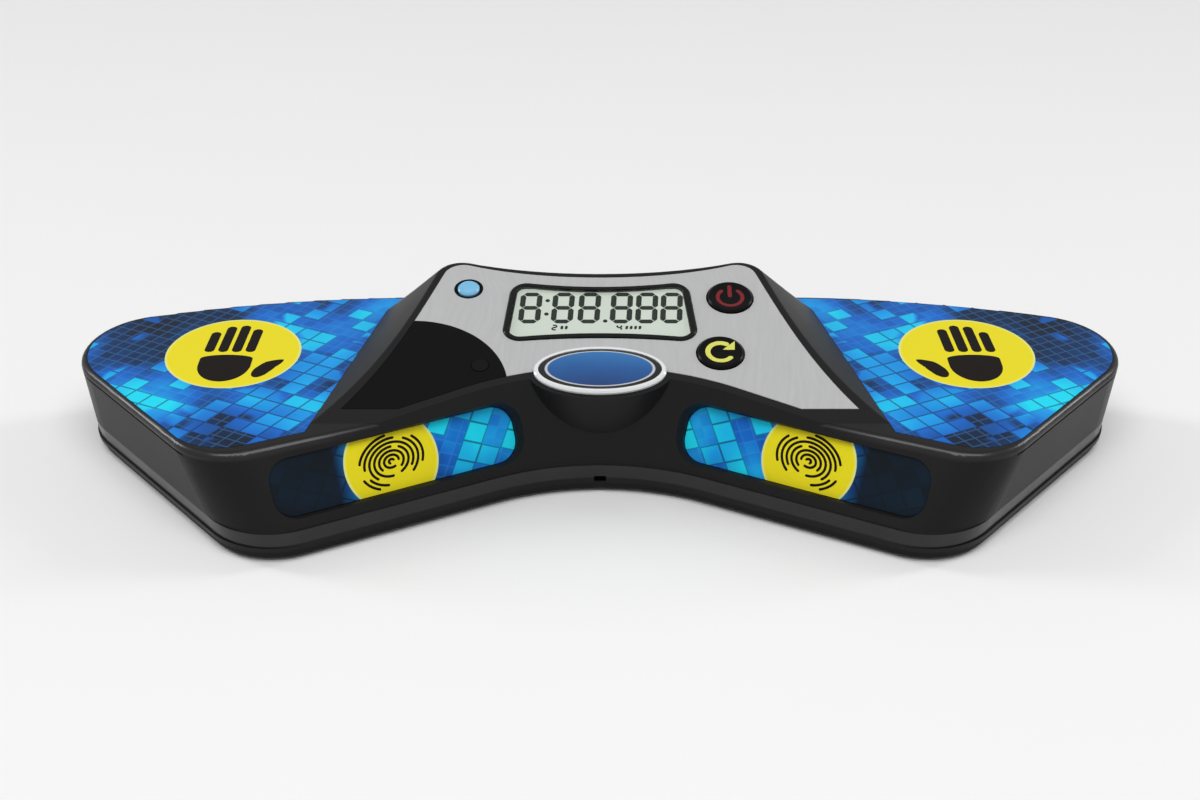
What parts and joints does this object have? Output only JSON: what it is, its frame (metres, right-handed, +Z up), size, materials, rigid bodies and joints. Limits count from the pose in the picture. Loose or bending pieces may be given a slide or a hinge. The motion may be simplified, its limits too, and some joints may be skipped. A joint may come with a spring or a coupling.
{
  "type": "speed cube timer",
  "caption": "Boomerang-shaped touch timer for both hands: hand pads on its wings, finger slots in front and a tilted console with a display, an oval badge and push buttons.",
  "frame": {"origin": "under the middle of the unit's outline, on the surface its feet stand on", "axes": "+X to the user's right along the wings, +Y to the rear, away from the user, +Z up"},
  "size_m": [0.2498, 0.0809, 0.0365],
  "materials": {
    "housing": "satin moulded ABS, very dark grey",
    "base": "fine-grained moulded ABS, black",
    "pad_print": "printed plastic film, blue tile pattern with a yellow disc",
    "finger_print": "printed plastic film, blue tile pattern with a yellow disc",
    "faceplate": "silver-grey printed plastic film, faint brushed swirl",
    "bezel": "glossy black",
    "window": "clear acrylic window",
    "lcd": "pale grey-green reflective display glass",
    "white_plastic": "white moulded plastic",
    "rubber_strip": "layered conductive rubber",
    "badge_rim": "glossy white",
    "badge_face": "domed clear resin over blue print with a dark ring",
    "button_black": "glossy black cap with a printed symbol",
    "button_blue": "glossy light blue cap",
    "lens": "smoked clear plastic",
    "led": "tinted clear resin",
    "switch_body": "black moulded nylon",
    "plunger": "ivory moulded nylon",
    "circuit_board": "green solder mask over glass-fibre laminate",
    "chip": "black epoxy",
    "bright_steel": "zinc-plated steel",
    "nickel": "nickel-plated spring steel",
    "copper_foil": "tinned copper foil",
    "sounder_body": "black moulded plastic",
    "jack_body": "black moulded nylon",
    "cell_sleeve": "plain printed sleeve on a steel can, copper-coloured end",
    "feet": "soft black rubber"
  },
  "bodies": {
    "root": {"upper_housing": "housing", "lower_housing": "base", "right_hand_pad": "pad_print", "left_hand_pad": "pad_print", "right_finger_pad": "finger_print", "left_finger_pad": "finger_print", "right_touch_plate": "copper_foil", "left_touch_plate": "copper_foil", "right_finger_plate": "copper_foil", "left_finger_plate": "copper_foil", "console_faceplate": "faceplate", "lcd_bezel": "bezel", "lcd_window": "window", "lcd_panel": "lcd", "lcd_holder": "white_plastic", "lcd_connector": "rubber_strip", "badge_rim": "badge_rim", "badge_face": "badge_face", "led_lens": "lens", "status_led": "led", "power_switch": "switch_body", "reset_switch": "switch_body", "mode_switch": "switch_body", "main_board": "circuit_board", "board_screws": "bright_steel", "controller_chip": "chip", "clock_crystal": "nickel", "sounder": "sounder_body", "data_jack": "jack_body", "jack_board": "circuit_board", "battery_springs": "nickel", "battery_contacts": "nickel", "front_battery": "cell_sleeve", "rear_battery": "cell_sleeve", "housing_screws": "bright_steel", "rubber_feet": "feet"},
    "power_button": {"power_button": "button_black", "power_plunger": "plunger"},
    "reset_button": {"reset_button": "button_black", "reset_plunger": "plunger"},
    "mode_button": {"mode_button": "button_blue", "mode_plunger": "plunger"},
    "battery_cover": {"battery_cover": "base", "cover_screw": "bright_steel"}
  },
  "joints": [
    {"name": "power_press", "type": "slide", "parent": "root", "child": "power_button", "axis": [0, 0.225, -0.9744], "range_m": [0, 0.0005], "stiffness_N_per_m": 400, "springref_m": -0.0005},
    {"name": "reset_press", "type": "slide", "parent": "root", "child": "reset_button", "axis": [0, 0.225, -0.9744], "range_m": [0, 0.0005], "stiffness_N_per_m": 400, "springref_m": -0.0005},
    {"name": "mode_press", "type": "slide", "parent": "root", "child": "mode_button", "axis": [0, 0.225, -0.9744], "range_m": [0, 0.0005], "stiffness_N_per_m": 400, "springref_m": -0.0005},
    {"name": "battery_cover_hinge", "type": "hinge", "parent": "root", "child": "battery_cover", "pos_m": [0, 0.0311, 0.0023], "axis": [1, 0, 0], "range_deg": [0, 85]}
  ]
}
